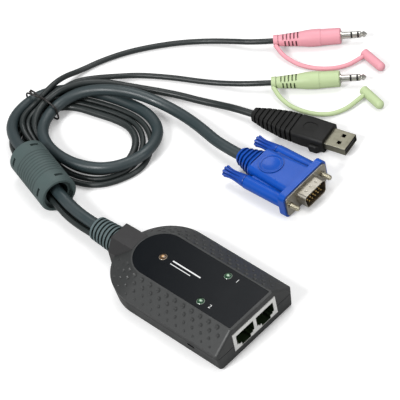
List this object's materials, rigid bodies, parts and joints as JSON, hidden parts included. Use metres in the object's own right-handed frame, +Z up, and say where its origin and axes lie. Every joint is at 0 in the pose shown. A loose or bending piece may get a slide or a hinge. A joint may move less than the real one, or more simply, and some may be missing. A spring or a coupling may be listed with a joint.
{
  "type": "keyboard video and mouse adapter dongle",
  "caption": "Adapter case with network sockets and status lights, with captive leads that end in video, USB and audio plugs.",
  "frame": {"origin": "centre of the base of the case with its gland; the leads and their plugs lie beside it", "axes": "+X out of the network sockets, away from the leads' gland; +Z up from the base; the video plug lies on the +Y side"},
  "size_m": [0.2119, 0.2131, 0.0204],
  "materials": {
    "case_grey": "fine grain",
    "screw_steel": "zinc plated",
    "label_black": "glossy",
    "power_lens": "clear amber",
    "link_lens": "clear green",
    "shield_metal": "bright tin",
    "housing_black": "moulded",
    "contact_gold": "gold plated",
    "board_green": "solder mask",
    "crystal_metal": "drawn can",
    "lamp_white": "moulded",
    "knob_black": "moulded",
    "hood_black": "fine grain",
    "grommet_grey": "moulded",
    "ferrite_skin": "moulded",
    "ferrite_black": "sintered",
    "tie_black": "matt",
    "lead_grey": "satin",
    "video_blue": "satin",
    "plug_steel": "nickel plated",
    "usb_black": "fine grain",
    "usb_insert": "moulded",
    "mic_pink": "satin",
    "speaker_green": "satin",
    "jack_nickel": "nickel plated",
    "jack_black": "moulded"
  },
  "bodies": {
    "adapter": {"case_top": "case_grey", "case_bottom": "case_grey", "case_screws": "screw_steel", "top_label": "label_black", "power_led": "power_lens", "link_led_1": "link_lens", "link_led_2": "link_lens", "port_shield": "shield_metal", "port_housing": "housing_black", "recovery_switch_body": "housing_black", "vga_insulator": "housing_black", "controller_chip": "housing_black", "network_transformers": "housing_black", "port_contacts_1": "contact_gold", "port_contacts_2": "contact_gold", "usb_contacts": "contact_gold", "vga_pins": "contact_gold", "circuit_board": "board_green", "clock_crystal": "crystal_metal", "led_packages": "lamp_white", "cable_hood": "hood_black", "cable_grommet": "grommet_grey", "ferrite_cover": "ferrite_skin", "ferrite_core": "ferrite_black", "cable_tie": "tie_black", "vga_cord": "lead_grey", "usb_cord": "lead_grey", "mic_cord": "lead_grey", "speaker_cord": "lead_grey", "vga_hood": "video_blue", "vga_shell": "plug_steel", "usb_shell": "plug_steel", "usb_hood": "usb_black", "usb_insulator": "usb_insert", "mic_hood": "mic_pink", "mic_cap": "mic_pink", "speaker_hood": "speaker_green", "speaker_cap": "speaker_green", "mic_jack_sleeve": "jack_nickel", "mic_jack_ring": "jack_nickel", "mic_jack_tip": "jack_nickel", "speaker_jack_sleeve": "jack_nickel", "speaker_jack_ring": "jack_nickel", "speaker_jack_tip": "jack_nickel", "mic_jack_insulators": "jack_black", "speaker_jack_insulators": "jack_black"},
    "video_thumbscrew_1": {"vga_thumbscrew_1": "video_blue"},
    "video_thumbscrew_2": {"vga_thumbscrew_2": "video_blue"},
    "recovery_knob": {"recovery_switch_slider": "knob_black"}
  },
  "joints": [
    {"name": "video_screw_1_turn", "type": "hinge", "parent": "adapter", "child": "video_thumbscrew_1", "pos_m": [0.01439, 0.06891, 0.0073], "axis": [0.9994, 0.0349, 0], "continuous": true},
    {"name": "video_screw_2_turn", "type": "hinge", "parent": "adapter", "child": "video_thumbscrew_2", "pos_m": [0.01351, 0.09389, 0.0073], "axis": [0.9994, 0.0349, 0], "continuous": true},
    {"name": "recovery_knob_slide", "type": "slide", "parent": "adapter", "child": "recovery_knob", "axis": [-1, 0, 0], "range_m": [0, 0.002]}
  ]
}
